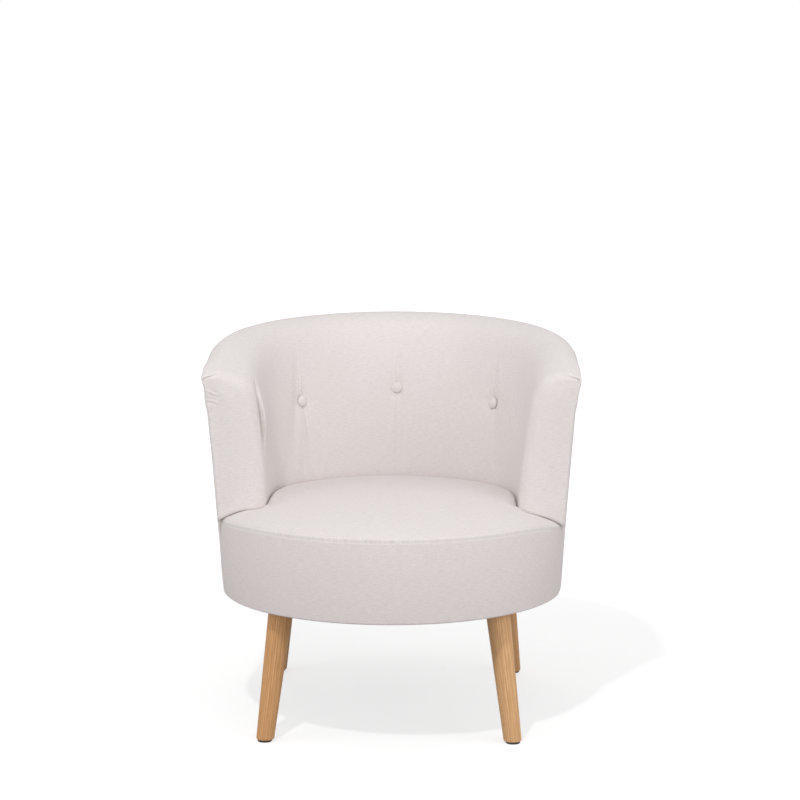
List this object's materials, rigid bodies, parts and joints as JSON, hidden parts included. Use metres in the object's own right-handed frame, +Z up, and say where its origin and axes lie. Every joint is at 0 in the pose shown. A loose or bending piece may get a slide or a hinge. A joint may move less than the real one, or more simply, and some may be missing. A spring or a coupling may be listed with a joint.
{
  "type": "barrel chair",
  "caption": "Upholstered barrel chair: a padded wraparound back with buttons, short arms, a crowned round-fronted seat and splayed tapered wooden legs.",
  "frame": {"origin": "on the floor, under the centre of the chair's bounding box", "axes": "+Z up, -Y the way the sitter faces, +X to the right as seen from the front"},
  "size_m": [0.6564, 0.6345, 0.6964],
  "materials": {
    "upholstery": "woven linen look, matt",
    "leg_wood": "clear satin lacquer",
    "foot_plastic": "matt black",
    "steel": "plain zinc plated",
    "plywood": "raw",
    "hardwood": "raw",
    "fibreboard": "raw",
    "foam": "open cell foam",
    "wadding": "loose fibre",
    "felt": "needled",
    "dust_cloth": "black non-woven",
    "twine": "waxed twine"
  },
  "bodies": {
    "root": {"arm_front_cover_left": "upholstery", "arm_front_cover_right": "upholstery", "arm_front_pad_left": "foam", "arm_front_pad_right": "foam", "arm_post_left": "hardwood", "arm_post_right": "hardwood", "back_button_center": "upholstery", "back_button_left": "upholstery", "back_button_right": "upholstery", "back_foam": "foam", "back_post_left": "hardwood", "back_post_right": "hardwood", "button_twines": "twine", "button_washers": "steel", "corner_blocks": "hardwood", "dust_cover": "dust_cloth", "dust_cover_staples": "steel", "foot_pad_front_left": "foot_plastic", "foot_pad_front_right": "foot_plastic", "foot_pad_nails": "steel", "foot_pad_rear_left": "foot_plastic", "foot_pad_rear_right": "foot_plastic", "front_spacers": "hardwood", "hanger_bolts": "steel", "inner_back_cover": "upholstery", "inner_board": "fibreboard", "insert_nuts": "steel", "leg_front_left": "leg_wood", "leg_front_right": "leg_wood", "leg_rear_left": "leg_wood", "leg_rear_right": "leg_wood", "outer_back_cover": "upholstery", "outer_board": "fibreboard", "post_screws": "steel", "rail_screws": "steel", "rim_pad": "foam", "seat_border_board": "fibreboard", "seat_border_cover": "upholstery", "seat_border_foam": "foam", "seat_cover": "upholstery", "seat_foam": "foam", "seat_lower_ring": "plywood", "seat_springs": "steel", "seat_upper_ring": "plywood", "seat_wadding": "wadding", "side_post_left": "hardwood", "side_post_right": "hardwood", "spring_clips": "steel", "spring_felt": "felt", "top_rail": "plywood"}
  },
  "joints": []
}
